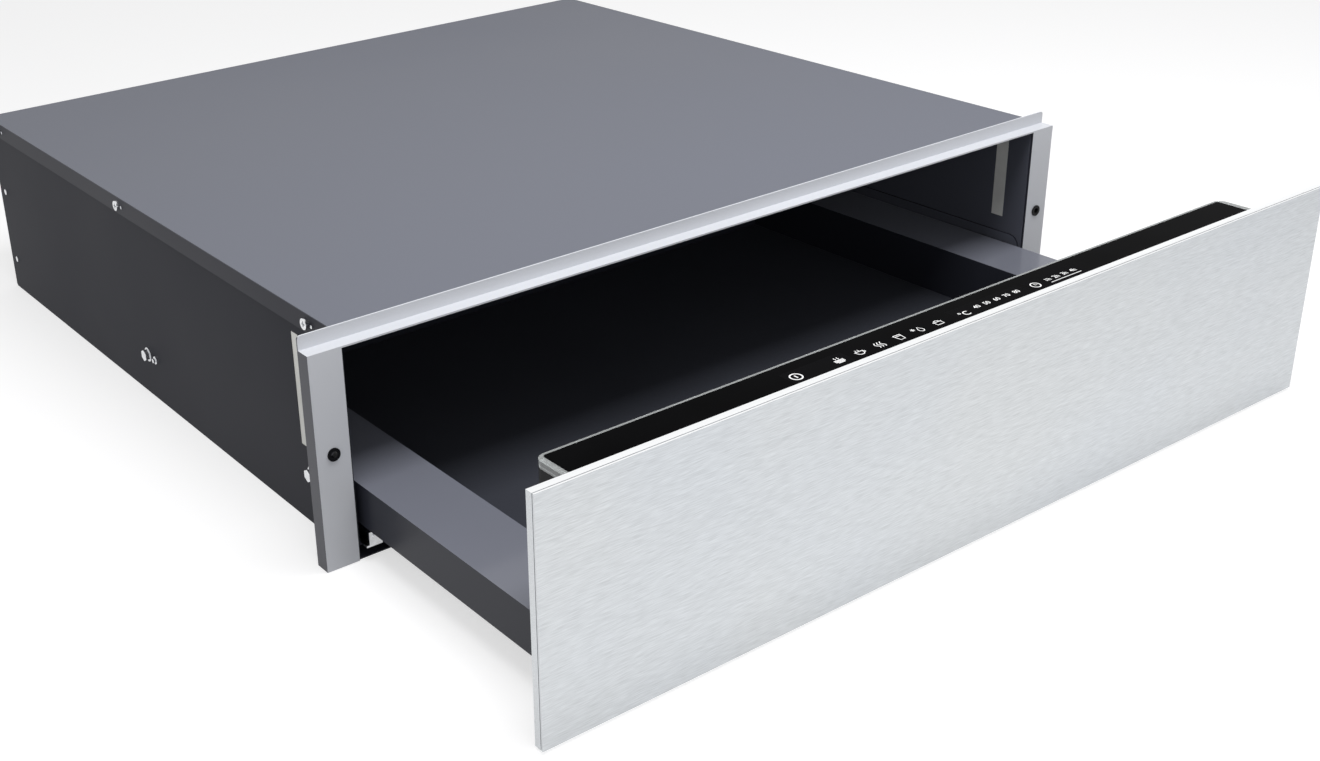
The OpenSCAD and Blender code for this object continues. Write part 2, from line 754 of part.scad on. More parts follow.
module thermal_cutout() {
    color([0.12, 0.12, 0.13]) {
        rod_y(cutout_x, shroud_back_y, fan_z, cutout_r, cutout_h);
        slab([cutout_x - cutout_r / 2, shroud_back_y + cutout_h, fan_z - shroud_t],
            [cutout_x + cutout_r / 2, shroud_back_y + 2 * cutout_h, fan_z + shroud_t]);
    }
}

module temperature_sensor() {
    color([0.85, 0.85, 0.86]) {
        rod_y(probe_x, bulkhead_y - 2 * probe_r, probe_z, probe_r, sheet_t + 6 * probe_r);
        rod_y(probe_x, bulkhead_y + sheet_t, probe_z, 2 * probe_r, probe_r);
    }
}

module control_board() {
    color([0.05, 0.32, 0.16]) difference() {
        slab([board_corner[0], board_corner[1], board_z],
            [board_corner[0] + board_size[0], board_corner[1] + board_size[1], board_z + board_t]);
        for (at = standoff_places()) translate([at[0], at[1], board_z - cut])
            cylinder(r = standoff_r / 2 + seat, h = board_t + 2 * cut);
    }
}
function standoff_places() = [for (i = [0, 1]) for (j = [0, 1])
    [board_corner[0] + standoff_inset + i * (board_size[0] - 2 * standoff_inset),
    board_corner[1] + standoff_inset + j * (board_size[1] - 2 * standoff_inset)]];
module board_standoffs() {
    color([0.85, 0.85, 0.80]) for (at = standoff_places()) translate([at[0], at[1], sheet_t]) {
        cylinder(r = standoff_r, h = board_z - sheet_t);
        cylinder(r = standoff_r / 2, h = board_z + board_t);
    }
}

module board_components() {
    top = board_z + board_t;
    left = board_corner[0] + 2 * standoff_inset;
    near = board_corner[1] + 2 * standoff_inset;
    color([0.10, 0.12, 0.20]) {
        for (i = [0 : relay_count - 1])
            translate([left, near + i * relay_pitch, top]) cube(relay_size);
        translate([left + relay_size[0] + standoff_inset, near, top]) cube(choke_size);
        translate([left + relay_size[0] + standoff_inset + cap_r,
            near + choke_size[1] + standoff_inset + cap_r, top]) cylinder(r = cap_r, h = cap_h);
        translate([left + relay_size[0] + standoff_inset + choke_size[0] - plug_size[0],
            near + choke_size[1] + standoff_inset, top]) cube(plug_size);
    }
}

module terminal_block() {
    left = gland_x - terminal_size[0] / 2;
    near = back_y - rear_flange_w - 2 * terminal_size[1];
    way = terminal_size[0] / terminal_ways;
    color([0.88, 0.88, 0.84]) difference() {
        slab([left, near, sheet_t], [left + terminal_size[0], near + terminal_size[1],
            sheet_t + terminal_size[2]]);
        for (i = [0 : terminal_ways - 1]) translate([left + (i + 0.5) * way, near + terminal_size[1] / 2,
            sheet_t + terminal_size[2] / 2]) cylinder(r = terminal_screw_r, h = terminal_size[2]);
    }
}

module cable_gland() {
    color([0.06, 0.06, 0.07]) difference() {
        union() {
            rod_y(gland_x, back_y - sheet_t - gland_inner_l, gland_z, gland_thread_r,
                gland_inner_l + sheet_t + gland_flange_t);
            rod_y(gland_x, back_y, gland_z, gland_flange_r, gland_flange_t, 6);
            rod_y(gland_x, back_y + gland_flange_t, gland_z, gland_cap_r, gland_cap_l);
        }
        rod_y(gland_x, back_y - sheet_t - gland_inner_l - cut, gland_z, gland_bore_d / 2,
            gland_inner_l + sheet_t + gland_flange_t + gland_cap_l + 2 * cut);
    }
}
module gland_nut() {
    color([0.06, 0.06, 0.07]) difference() {
        rod_y(gland_x, back_y - sheet_t - gland_nut_t, gland_z, gland_nut_r, gland_nut_t, 6);
        rod_y(gland_x, back_y - sheet_t - gland_nut_t - cut, gland_z, gland_thread_r + seat,
            gland_nut_t + 2 * cut);
    }
}

module latch_body() {
    start = bulkhead_y + sheet_t;
    color([0.82, 0.82, 0.80]) difference() {
        slab([-latch_w / 2, start, sheet_t], [latch_w / 2, start + latch_l, latch_top_z]);
        rod_y(0, start - cut, latch_z, plunger_r + running, latch_bore_l + cut);
        rod_y(0, start - cut, latch_z, plunger_tip_r + seat, latch_reach + plunger_tip_l + cut);
    }
}
module latch_plunger() {
    start = bulkhead_y - latch_reach;
    color([0.12, 0.12, 0.13]) {
        rod_y(0, start, latch_z, plunger_tip_r, plunger_tip_l);
        rod_y(0, start + plunger_tip_l, latch_z, plunger_r, plunger_l - plunger_tip_l);
    }
}

// Half of the tray's folded sheet, seen from the front
module tray_outline() {
    polygon([[0, tray_z], [tray_x + sheet_t, tray_z], [tray_x + sheet_t, ledge_z - sheet_t],
        [skirt_x - sheet_t, ledge_z - sheet_t], [skirt_x - sheet_t, skirt_z], [skirt_x, skirt_z],
        [skirt_x, ledge_z], [tray_x, ledge_z], [tray_x, tray_z + sheet_t], [0, tray_z + sheet_t]]);
}
module drawer_tray() {
    color(tray_grey) difference() {
        union() {
            both_sides() along_y(panel_back_y, tray_back_y - panel_back_y) tray_outline();
            slab([-skirt_x, panel_back_y, skirt_z], [skirt_x, panel_back_y + sheet_t, ledge_z]);
            slab([-tray_x, panel_back_y, tray_z], [tray_x, panel_back_y + sheet_t, ledge_z]);
            for (y = [glass_back_y - sheet_t, tray_back_y - sheet_t])
                slab([-tray_x - sheet_t, y, tray_z], [tray_x + sheet_t, y + sheet_t, ledge_z]);
        }
        for (x = front_screw_x)
            rod_y(x, panel_back_y - cut, front_screw_z, screw_shank_r + seat, sheet_t + 2 * cut);
    }
}

module drawer_mat() {
    color([0.14, 0.15, 0.18]) slab([seat - tray_x, glass_back_y + seat, tray_z + sheet_t],
        [tray_x - seat, tray_back_y - sheet_t - seat, tray_z + sheet_t + mat_t]);
}

// A shallow steel pan: a skin with four folded edges, and a fine seam round them behind the face
module front_panel() {
    seam_y = panel_front_y + seam_back;
    color(panel_grey) difference() {
        panel_block(0, panel_front_y, panel_back_y);
        panel_block(skin_t, panel_front_y + skin_t, panel_back_y + cut);
        difference() {
            panel_block(-cut, seam_y, seam_y + seam_w);
            panel_block(seam_depth, seam_y - cut, seam_y + seam_w + cut);
        }
    }
}
// The front's outline, drawn in by inset, between two depths
module panel_block(inset, low_y, high_y) {
    slab([inset - panel_w / 2, low_y, panel_z + inset], [panel_w / 2 - inset, high_y, panel_top_z - inset]);
}

module front_carrier() {
    edge = skin_t + seat;
    color([0.16, 0.17, 0.19]) difference() {
        panel_block(edge, panel_front_y + skin_t, panel_back_y);
        for (x = front_screw_x)
            rod_y(x, panel_back_y - front_screw_l - seat, front_screw_z, screw_shank_r + seat,
                front_screw_l + seat + cut);
    }
}

module control_box() {
    top = glass_z - glass_t;
    color([0.03, 0.03, 0.035]) difference() {
        slab([-glass_w / 2, panel_back_y, ledge_z], [glass_w / 2, glass_back_y, top]);
        slab([box_t - glass_w / 2, panel_back_y + box_t, ledge_z + box_t],
            [glass_w / 2 - box_t, glass_back_y - box_t, top + cut]);
        for (side = [-1, 1]) glass_corner(side, ledge_z - cut, top + cut);
    }
}
// The waste outside a rounded rear corner of the glass or the box
module glass_corner(side, low_z, high_z) {
    x = side * (glass_w / 2 - glass_corner_r);
    y = glass_back_y - glass_corner_r;
    difference() {
        slab([min(x, x + side * 2 * glass_corner_r), y, low_z],
            [max(x, x + side * 2 * glass_corner_r), y + 2 * glass_corner_r, high_z]);
        translate([x, y, low_z - cut]) cylinder(r = glass_corner_r, h = high_z - low_z + 2 * cut);
    }
}

module control_glass() {
    color([0.02, 0.02, 0.025]) difference() {
        slab([-glass_w / 2, panel_back_y, glass_z - glass_t], [glass_w / 2, glass_back_y, glass_z]);
        for (side = [-1, 1]) glass_corner(side, glass_z - glass_t - cut, glass_z + cut);
    }
}

module touch_board() {
    top = glass_z - glass_t;
    color([0.05, 0.32, 0.16]) slab([-touch_w / 2, panel_back_y + box_t + touch_inset, top - touch_t],
        [touch_w / 2, glass_back_y - box_t - touch_inset, top]);
}

module front_screws() {
    start = panel_back_y + sheet_t;
    color(zinc_grey) for (x = front_screw_x) {
        rod_y(x, start, front_screw_z, screw_head_r, screw_head_h);
        rod_y(x, start - sheet_t - front_screw_l, front_screw_z, screw_shank_r, sheet_t + front_screw_l);
    }
}

module front_bumpers() {
    color([0.10, 0.10, 0.11]) both_sides() for (z = bumper_z)
        rod_y(fixing_x, panel_back_y, z, bumper_r, bumper_t);
}

module latch_striker() {
    color(zinc_grey) slab([-striker_w / 2, tray_back_y, tray_z],
        [striker_w / 2, tray_back_y + striker_t, tray_z + striker_h]);
}

base_pan();
side_panel_left();
side_panel_right();
rear_panel();
top_cover();
front_post_left();
front_post_right();
top_rail();
post_grommets();
cover_screws();
slide_bolts();
rear_rivets();
wall_strip_left();
wall_strip_right();
slide_bracket_left();
slide_bracket_right();
slide_fixed_left();
slide_fixed_right();
slide_rivets();
bulkhead();
fan_shroud();
heating_element();
element_clips();
fan_motor();
motor_bracket();
fan_impeller();
thermal_cutout();
temperature_sensor();
control_board();
board_components();
board_standoffs();
terminal_block();
cable_gland();
gland_nut();
latch_body();
latch_plunger();
ball_cage_left();
ball_cage_right();
slide_balls_left();
slide_balls_right();
slide_drawer_left();
slide_drawer_right();
drawer_tray();
drawer_mat();
front_panel();
front_carrier();
control_box();
control_glass();
touch_board();
front_screws();
front_bumpers();
latch_striker();
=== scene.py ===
import json
import math

import bmesh
import bpy
from mathutils import Matrix, Vector


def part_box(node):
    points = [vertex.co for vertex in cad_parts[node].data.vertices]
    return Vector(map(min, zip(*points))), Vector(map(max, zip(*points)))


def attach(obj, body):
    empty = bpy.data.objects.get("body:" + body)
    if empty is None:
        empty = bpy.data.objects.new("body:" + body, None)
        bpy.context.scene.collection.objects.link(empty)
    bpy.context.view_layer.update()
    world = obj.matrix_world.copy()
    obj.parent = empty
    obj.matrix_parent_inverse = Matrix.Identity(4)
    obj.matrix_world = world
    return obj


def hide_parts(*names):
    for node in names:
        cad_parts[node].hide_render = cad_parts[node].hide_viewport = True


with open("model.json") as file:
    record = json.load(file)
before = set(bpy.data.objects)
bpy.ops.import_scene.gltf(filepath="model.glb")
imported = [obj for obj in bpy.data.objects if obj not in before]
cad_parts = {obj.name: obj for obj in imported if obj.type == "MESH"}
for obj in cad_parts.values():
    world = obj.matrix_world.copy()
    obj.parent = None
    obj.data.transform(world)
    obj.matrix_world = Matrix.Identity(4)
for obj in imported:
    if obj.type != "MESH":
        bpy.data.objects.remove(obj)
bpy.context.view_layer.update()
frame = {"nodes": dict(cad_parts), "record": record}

MM = 0.001

# The photograph's camera: angles in degrees, places in metres, lens and sensor in millimetres
CAMERA_AZIMUTH = -34.22
CAMERA_ELEVATION = 24.6
CAMERA_ROLL = -2.51
CAMERA_PLACE = (-0.6526, -0.9635, 0.4847)
CAMERA_NEAR = 0.01
LENS = 45.36
SENSOR = 36.0
SHIFT = (0.1212, -0.0216)

# The world shows white, and lights the object with less than it shows
WHITE = 1.0
WHITE_COLOR = (1.0, 1.0, 1.0)
WORLD_LEVEL = 0.45

# The floor's width, its gap under the object, its grey, and the glow that makes it show white
FLOOR_SIZE = 12.0
FLOOR_GAP = 0.2 * MM
FLOOR_GREY = (0.52, 0.52, 0.525)
FLOOR_ROUGHNESS = 0.9
FLOOR_LIFT = 0.6

# Lamps: name, place, the point it faces, width and height, power in watts
LAMPS = (
    ("key", (0.0, -0.42, 1.0), (0.0, -0.25, 0.05), (1.2, 0.4), 9.0),
    ("front", (-0.5, -2.2, 0.7), (0.0, -0.3, 0.05), (1.6, 1.0), 9.0),
)

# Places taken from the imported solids
GLASS_LOW, GLASS_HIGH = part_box("control_glass")
COVER_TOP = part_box("top_cover")[1].z

# The glass: its rear corners, and the clear rim around its black plate
GLASS_CORNER = 6 * MM
SMALLEST_CORNER = 1 * MM
CORNER_STEPS = 8
RIM_SIDE = 4.0 * MM
RIM_BACK = 1.6 * MM
RIM_FRONT = 0.4 * MM
PLATE_DROP = 0.02 * MM

# Rows on the glass, measured back from its front edge
MARK_ROW = 25.2 * MM
DIGIT_ROW = 26.0 * MM
UNIT_ROW = 23.7 * MM
UNDERLINE_ROW = 22.2 * MM
FIELD_ROWS = (18.5 * MM, 32.0 * MM)

# Places across the glass, in millimetres from its middle
POWER_X = -113.1
UNIT_X = 9.8
DIGITS_X = 22.0
DIGITS_STEP = 8.1
HOURS_X = 80.9
HOURS_STEP = 7.3
UNDERLINE_ENDS = (79.5, 105.5)
FIELD_ENDS = ((-119.0, -76.0), (3.0, 61.0), (64.5, 109.0))

# The marks' height over the glass, the letters' sizes and the widths of the strokes
MARK_HEIGHT = 0.04 * MM
DIGIT_SIZE = 4.6 * MM
UNIT_SIZE = 6.6 * MM
LETTER_SWELL = 0.03 * MM
FINE_STROKE = 0.45 * MM
THIN_STROKE = 0.5 * MM
STROKE = 0.55 * MM
DISH_STROKE = 0.6 * MM
CLOCK_STROKE = 0.7 * MM
POWER_STROKE = 0.8 * MM

# Rounded edges
SHEET_BEVEL = 0.35 * MM
PANEL_BEVEL = 0.4 * MM
PLASTIC_BEVEL = 0.3 * MM
GLASS_BEVEL = 0.45 * MM
BEVEL_ANGLE = math.radians(40)

# Limits between which a mask goes from 0 to 1
FACING_LIMITS = (0.6, 0.8)
INWARD_LIMITS = (-0.1, -0.05)
TOP_LEVEL = COVER_TOP - 0.5 * MM
TOP_SOFTNESS = 0.2 * MM

# Brushed steel: stretches of its strokes, its faint tints and the painted highlight of its level faces
SHORT_STROKES = (110, 2600, 2600)
LONG_STROKES = (9, 900, 900)
COOL_TINT = (0.98, 0.99, 1.0)
WARM_TINT = (1.0, 1.0, 0.99)
PAINTED_LEVEL_HIGHLIGHT = (0.97, 0.98, 0.99)

# Black glass: the two tones between which it drifts, and a reflection weak enough to stay black
BLACK_LOW = (0.0012, 0.0012, 0.0014)
BLACK_HIGH = (0.0022, 0.0022, 0.0026)
BLACK_REFLECTION = 0.004


class Nodes:
    """A short way to write a material's node tree."""

    def __init__(self, name):
        self.material = bpy.data.materials.new(name)
        self.material.use_nodes = True
        self.tree = self.material.node_tree
        self.shader = self.tree.nodes["Principled BSDF"]
        self.place = self.tree.nodes.new("ShaderNodeTexCoord").outputs["Object"]

    def new(self, kind, **values):
        """A new node of a kind, with its settings."""
        node = self.tree.nodes.new(kind)
        for key, value in values.items():
            setattr(node, key, value)
        return node

    def link(self, source, target):
        self.tree.links.new(source, target)

    def set(self, **values):
        """Sets the shader's inputs; an underscore stands for a space in an input's name."""
        for key, value in values.items():
            self.shader.inputs[key.replace("_", " ")].default_value = value

    def noise(self, scale, detail=3.0, stretch=(1, 1, 1)):
        """A noise over the object's own place, stretched along its axes; scale counts per metre."""
        mapping = self.new("ShaderNodeMapping")
        mapping.inputs["Scale"].default_value = stretch
        self.link(self.place, mapping.inputs["Vector"])
        node = self.new("ShaderNodeTexNoise")
        node.inputs["Scale"].default_value = scale
        node.inputs["Detail"].default_value = detail
        self.link(mapping.outputs["Vector"], node.inputs["Vector"])
        return node.outputs["Fac"]

    def spread(self, source, low, high, from_low=0.3, from_high=0.7):
        """Spreads a source from its own limits, or a noise's usual ones, to low and high."""
        node = self.new("ShaderNodeMapRange")
        node.inputs["From Min"].default_value = from_low
        node.inputs["From Max"].default_value = from_high
        node.inputs["To Min"].default_value = low
        node.inputs["To Max"].default_value = high
        self.link(source, node.inputs["Value"])
        return node.outputs["Result"]

    def blend(self, factor, first, second):
        """Mixes two colours, or links already made, by a factor."""
        node = self.new("ShaderNodeMix", data_type="RGBA")
        self.link(factor, node.inputs["Factor"])
        for socket, value in ((node.inputs["A"], first), (node.inputs["B"], second)):
            if isinstance(value, tuple):
                socket.default_value = (*value, 1.0)
            else:
                self.link(value, socket)
        return node.outputs["Result"]

    def tones(self, noise, color, low, high):
        """A colour that drifts with a noise between low and high times itself."""
        return self.blend(self.spread(noise, 0.0, 1.0), scaled(color, low), scaled(color, high))

    def multiply(self, first, second):
        """One linked colour times another."""
        node = self.new("ShaderNodeMix", data_type="RGBA", blend_type="MULTIPLY")
        node.inputs["Factor"].default_value = 1.0
        self.link(first, node.inputs["A"])
        self.link(second, node.inputs["B"])
        return node.outputs["Result"]

    def axes(self, source):
        """The three parts of a vector."""
        split = self.new("ShaderNodeSeparateXYZ")
        self.link(source, split.inputs["Vector"])
        return split.outputs

    def normal(self):
        """The three parts of the direction that a face looks in."""
        return self.axes(self.new("ShaderNodeNewGeometry").outputs["Normal"])

    def above(self, level, soft):
        """1 where the object's own height is over level, 0 under it."""
        return self.spread(self.axes(self.place)["Z"], 0.0, 1.0, level - soft, level + soft)

    def facing(self, axis):
        """1 on faces that look along the axis or against it, 0 on the others."""
        size = self.new("ShaderNodeMath", operation="ABSOLUTE")
        self.link(self.normal()[axis], size.inputs[0])
        return self.spread(size.outputs["Value"], 0.0, 1.0, *FACING_LIMITS)

    def inward(self):
        """1 on faces that look back to the plane x = 0, 0 on the others."""
        product = self.new("ShaderNodeMath", operation="MULTIPLY")
        self.link(self.axes(self.place)["X"], product.inputs[0])
        self.link(self.normal()["X"], product.inputs[1])
        return self.spread(product.outputs["Value"], 1.0, 0.0, *INWARD_LIMITS)

    def painted_shade_sides(self):
        """1 on faces that look left or right; the frame's painted shade goes there."""
        return self.facing("X")

    def flat(self):
        """1 on faces that look up or down; the steel's painted highlight and the tray's painted light
        go there.
        """
        return self.facing("Z")

    def color(self, source):
        self.link(source, self.shader.inputs["Base Color"])

    def rough(self, source):
        self.link(source, self.shader.inputs["Roughness"])

    def bump(self, source, distance, strength):
        node = self.new("ShaderNodeBump")
        node.inputs["Distance"].default_value = distance
        node.inputs["Strength"].default_value = strength
        self.link(source, node.inputs["Height"])
        self.link(node.outputs["Normal"], self.shader.inputs["Normal"])


def scaled(color, factor):
    return tuple(channel * factor for channel in color)


def brushed_steel(name, color):
    """Stainless steel with strokes along X, and a painted highlight that makes its level faces
    brighter.
    """
    nodes = Nodes(name)
    nodes.set(Metallic=1.0, Anisotropic=0.55)
    strokes = nodes.noise(1.0, detail=4.0, stretch=SHORT_STROKES)
    long_strokes = nodes.noise(1.0, detail=2.0, stretch=LONG_STROKES)
    cloud = nodes.noise(7.0, detail=2.0)
    tint = nodes.blend(nodes.spread(cloud, 0.0, 1.0), COOL_TINT, WARM_TINT)
    upright = nodes.multiply(nodes.tones(strokes, color, 0.86, 1.10), tint)
    # Painted highlight: level faces take a brighter colour, standing for the white surroundings they
    # reflect.
    nodes.color(nodes.blend(nodes.flat(), upright, PAINTED_LEVEL_HIGHLIGHT))
    nodes.rough(nodes.spread(long_strokes, 0.30, 0.42))
    nodes.bump(strokes, distance=0.03 * MM, strength=0.55)
    return nodes.material


def lacquer(name, color, rough, metal):
    """Lacquered metal: a fine orange-peel surface, faint clouds and a little uneven gloss."""
    nodes = Nodes(name)
    nodes.set(Metallic=metal)
    cloud = nodes.noise(5.0, detail=4.0)
    grit = nodes.noise(900.0, detail=2.0)
    nodes.color(nodes.tones(cloud, color, 0.93, 1.07))
    nodes.rough(nodes.spread(cloud, rough - 0.03, rough + 0.04))
    nodes.bump(grit, distance=0.02 * MM, strength=0.6)
    return nodes.material


def two_tone_and_painted_light(name, mask, plain, masked, rough, reflection, coat=0.0):
    """Powder coat of one colour where the mask is 0 and another, with the clear coat, where it is 1. On
    the housing the second colour is a real second paint inside; on the frame and the tray the mask
    picks faces by the way they look, and the two colours are painted light and painted shade.
    """
    nodes = Nodes(name)
    nodes.set(Coat_Roughness=0.1, Specular_IOR_Level=reflection)
    share = mask(nodes)
    cloud = nodes.noise(5.0, detail=4.0)
    grit = nodes.noise(1300.0, detail=2.0)
    clouds = nodes.tones(cloud, WHITE_COLOR, 0.93, 1.0)
    nodes.color(nodes.multiply(nodes.blend(share, plain, masked), clouds))
    nodes.rough(nodes.spread(cloud, rough - 0.03, rough + 0.04))
    if coat:
        nodes.link(nodes.spread(share, 0.0, coat, 0.0, 1.0), nodes.shader.inputs["Coat Weight"])
    nodes.bump(grit, distance=0.02 * MM, strength=0.5)
    return nodes.material


def shaded_cover_coat(name, lit_top_color, shaded_side_color):
    """Powder coat of the housing's cover, with painted shade: its top face is lighter than its folded
    side flanges, whose darker colour is painted shade.
    """
    nodes = Nodes(name)
    nodes.set(Specular_IOR_Level=0.12)
    cloud = nodes.noise(3.0, detail=4.0)
    grit = nodes.noise(1100.0, detail=2.0)
    top = nodes.tones(cloud, lit_top_color, 0.96, 1.04)
    # The flanges under TOP_LEVEL take the darker colour, as painted shade.
    nodes.color(nodes.blend(nodes.above(TOP_LEVEL, TOP_SOFTNESS), shaded_side_color, top))
    nodes.rough(nodes.spread(cloud, 0.42, 0.50))
    nodes.bump(grit, distance=0.02 * MM, strength=0.5)
    return nodes.material


def plated(name, color, rough):
    """Bare or plated metal with faint streaks."""
    nodes = Nodes(name)
    nodes.set(Metallic=1.0)
    streak = nodes.noise(1.0, detail=3.0, stretch=(260, 60, 260))
    nodes.color(nodes.tones(streak, color, 0.85, 1.1))
    nodes.rough(nodes.spread(streak, rough - 0.06, rough + 0.08))
    nodes.bump(streak, distance=0.01 * MM, strength=0.4)
    return nodes.material


def galvanised(name, color):
    """Sheet with zinc spangles."""
    nodes = Nodes(name)
    nodes.set(Metallic=0.9)
    cells = nodes.new("ShaderNodeTexVoronoi")
    cells.inputs["Scale"].default_value = 160.0
    nodes.link(nodes.place, cells.inputs["Vector"])
    grey = nodes.new("ShaderNodeRGBToBW")
    nodes.link(cells.outputs["Color"], grey.inputs["Color"])
    nodes.color(nodes.blend(grey.outputs["Val"], scaled(color, 0.82), scaled(color, 1.12)))
    nodes.rough(nodes.spread(grey.outputs["Val"], 0.32, 0.5, 0.0, 1.0))
    return nodes.material


def plastic(name, color, rough, reflection=0.5):
    """Moulded plastic or rubber with a fine eroded texture."""
    nodes = Nodes(name)
    nodes.set(Specular_IOR_Level=reflection)
    grit = nodes.noise(1500.0, detail=3.0)
    cloud = nodes.noise(30.0, detail=3.0)
    nodes.color(nodes.tones(cloud, color, 0.9, 1.1))
    nodes.rough(nodes.spread(grit, rough - 0.05, rough + 0.06))
    nodes.bump(grit, distance=0.04 * MM, strength=0.6)
    return nodes.material


def mat_rubber(name, color):
    """The tray's mat: rubber with a fine dimpled face."""
    nodes = Nodes(name)
    nodes.set(Specular_IOR_Level=0.12)
    dimples = nodes.new("ShaderNodeTexVoronoi", feature="SMOOTH_F1")
    dimples.inputs["Scale"].default_value = 420.0
    nodes.link(nodes.place, dimples.inputs["Vector"])
    cloud = nodes.noise(4.0, detail=4.0)
    nodes.color(nodes.tones(cloud, color, 0.9, 1.12))
    nodes.rough(nodes.spread(cloud, 0.50, 0.60))
    nodes.bump(dimples.outputs["Distance"], distance=0.12 * MM, strength=0.5)
    return nodes.material


def circuit_board(name, color):
    """Green solder mask with lighter tracks."""
    nodes = Nodes(name)
    nodes.set(Specular_IOR_Level=0.5)
    tracks = nodes.new("ShaderNodeTexBrick")
    tracks.inputs["Scale"].default_value = 60.0
    tracks.inputs["Mortar Size"].default_value = 0.03
    for key, factor in (("Color1", 1.0), ("Color2", 0.9), ("Mortar", 2.2)):
        tracks.inputs[key].default_value = (*scaled(color, factor), 1.0)
    nodes.link(nodes.place, tracks.inputs["Vector"])
    nodes.color(tracks.outputs["Color"])
    nodes.rough(nodes.spread(nodes.noise(300.0), 0.3, 0.42))
    return nodes.material


def clear_glass(name):
    """The rim of the glass: clear, and lightly ground."""
    nodes = Nodes(name)
    nodes.set(Base_Color=(0.82, 0.86, 0.86, 1.0), Transmission_Weight=0.75, IOR=1.5)
    nodes.rough(nodes.spread(nodes.noise(400.0), 0.03, 0.10))
    return nodes.material


def black_glass(name):
    """The glass inside its rim, printed black behind, with a trace of unevenness in its gloss."""
    nodes = Nodes(name)
    nodes.set(Specular_IOR_Level=BLACK_REFLECTION)
    haze = nodes.noise(25.0, detail=3.0)
    nodes.color(nodes.blend(nodes.spread(haze, 0.0, 1.0), BLACK_LOW, BLACK_HIGH))
    nodes.rough(nodes.spread(haze, 0.10, 0.16))
    return nodes.material


def printed(name, color, painted_glow=0.0, reflection=0.5):
    """Marks on the glass: slightly uneven ink, which can be given a painted glow though it is no lamp.
    """
    nodes = Nodes(name)
    nodes.set(Roughness=0.5, Specular_IOR_Level=reflection)
    nodes.set(Emission_Color=(*color, 1.0), Emission_Strength=painted_glow)
    nodes.color(nodes.tones(nodes.noise(2500.0, detail=2.0), color, 0.92, 1.0))
    return nodes.material


GLASS = clear_glass("clear_glass")
STRIP = plastic("light_strip", (0.88, 0.88, 0.84), 0.5, reflection=0.3)
FIELD = printed("key_field", (0.0045, 0.0045, 0.005), reflection=BLACK_REFLECTION)
# The white marks get a painted glow, which keeps the ink bright.
MARKS = printed("white_marks", (0.82, 0.82, 0.82), painted_glow=0.25)
BLACK_GLASS = black_glass("black_glass")

SLOT_MATERIALS = {
    "brushed_front": brushed_steel("brushed_front", (0.60, 0.618, 0.635)),
    "housing_paint": two_tone_and_painted_light(
        "housing_paint", Nodes.inward,
        plain=(0.020, 0.021, 0.029), masked=(0.11, 0.116, 0.145), rough=0.5, reflection=0.08,
    ),
    # The cover's top colour, then the darker colour of its flanges, which is painted shade.
    "cover_paint": shaded_cover_coat("cover_paint", (0.135, 0.143, 0.174), (0.027, 0.028, 0.038)),
    # Painted shade: the frame's faces that look left or right are painted dark, its other faces light.
    "frame_paint": two_tone_and_painted_light(
        "frame_paint", Nodes.painted_shade_sides,
        plain=(0.62, 0.635, 0.675), masked=(0.05, 0.052, 0.068), rough=0.36, reflection=0.3,
    ),
    # Painted light: the tray's level faces are painted lighter than its upright walls, whose darker
    # colour is painted shade; the level faces also get the clear coat.
    "tray_paint": two_tone_and_painted_light(
        "tray_paint", Nodes.flat,
        plain=(0.030, 0.032, 0.043), masked=(0.17, 0.178, 0.215), rough=0.3, reflection=0.12, coat=0.35,
    ),
    "zinc": plated("zinc", (0.75, 0.76, 0.78), 0.2),
    "cage_metal": plated("cage_metal", (0.45, 0.46, 0.44), 0.35),
    "element_steel": plated("element_steel", (0.22, 0.20, 0.19), 0.45),
    "aluminium": plated("aluminium", (0.70, 0.71, 0.73), 0.3),
    "galvanised": galvanised("galvanised", (0.55, 0.57, 0.60)),
    "motor_metal": lacquer("motor_metal", (0.10, 0.10, 0.11), rough=0.45, metal=0.5),
    "black_plastic": plastic("black_plastic", (0.008, 0.008, 0.009), 0.38, reflection=0.08),
    "white_plastic": plastic("white_plastic", (0.80, 0.80, 0.76), 0.45),
    "component_plastic": plastic("component_plastic", (0.03, 0.05, 0.10), 0.4),
    "rubber": plastic("rubber", (0.02, 0.02, 0.022), 0.7, reflection=0.2),
    "mat_rubber": mat_rubber("mat_rubber", (0.045, 0.048, 0.060)),
    "board_green": circuit_board("board_green", (0.02, 0.14, 0.05)),
    "black_glass": BLACK_GLASS,
}
STRIP_NODES = ("wall_strip_left", "wall_strip_right")
BEVELS = {
    "brushed_front": PANEL_BEVEL,
    "housing_paint": SHEET_BEVEL,
    "cover_paint": SHEET_BEVEL,
    "frame_paint": SHEET_BEVEL,
    "tray_paint": SHEET_BEVEL,
    "mat_rubber": SHEET_BEVEL,
    "black_plastic": PLASTIC_BEVEL,
}


def bevel(obj, width, segments=2):
    modifier = obj.modifiers.new("edges", "BEVEL")
    modifier.width = width
    modifier.segments = segments
    modifier.limit_method = "ANGLE"
    modifier.angle_limit = BEVEL_ANGLE
    modifier.harden_normals = False


def dress_nodes():
    """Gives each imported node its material, and rounds the edges of those in the bevel table."""
    for entry in frame["record"]["subparts"]:
        node = frame["nodes"][entry["node"]]
        material = STRIP if entry["node"] in STRIP_NODES else SLOT_MATERIALS[entry["material_slot"]]
        node.data.materials.clear()
        node.data.materials.append(material)
        width = BEVELS.get(entry["material_slot"])
        if width:
            bevel(node, width)


def make_piece(name, mesh, material, body):
    """A piece of the scene's own, which rides on a body."""
    obj = bpy.data.objects.new(name, mesh)
    bpy.context.scene.collection.objects.link(obj)
    mesh.materials.append(material)
    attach(obj, body)
    return obj


